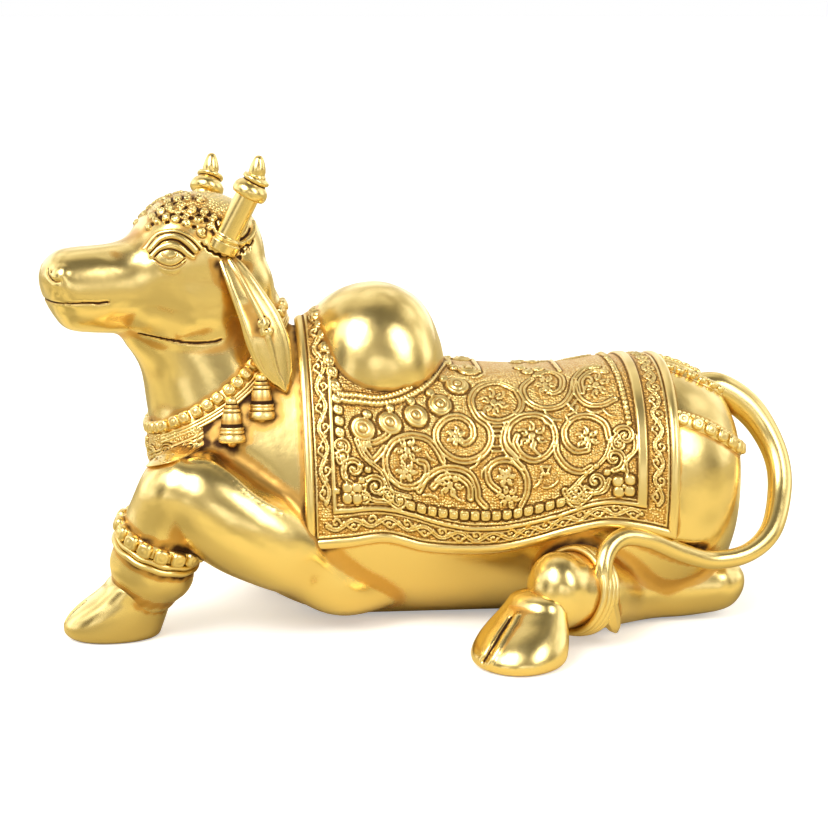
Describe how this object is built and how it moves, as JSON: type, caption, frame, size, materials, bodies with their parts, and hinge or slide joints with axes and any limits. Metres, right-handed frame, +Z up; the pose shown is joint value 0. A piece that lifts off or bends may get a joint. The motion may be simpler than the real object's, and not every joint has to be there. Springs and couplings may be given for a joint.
{
  "type": "nandi bull figure",
  "caption": "Reclining bull cast in brass, with a hump, capped horns, a carved saddle cloth, necklace, bells and anklets; rests on its belly and legs.",
  "frame": {"origin": "centre of the outline on the ground, under the belly", "axes": "+X from the nose to the tail, -Y to the bull's left side with the outstretched foreleg, +Z up"},
  "size_m": [0.295, 0.1526, 0.1847],
  "materials": {
    "brass": "polished high parts, dark brown patina in the recesses"
  },
  "bodies": {
    "root": {"nandi_bull": "brass"}
  },
  "joints": []
}
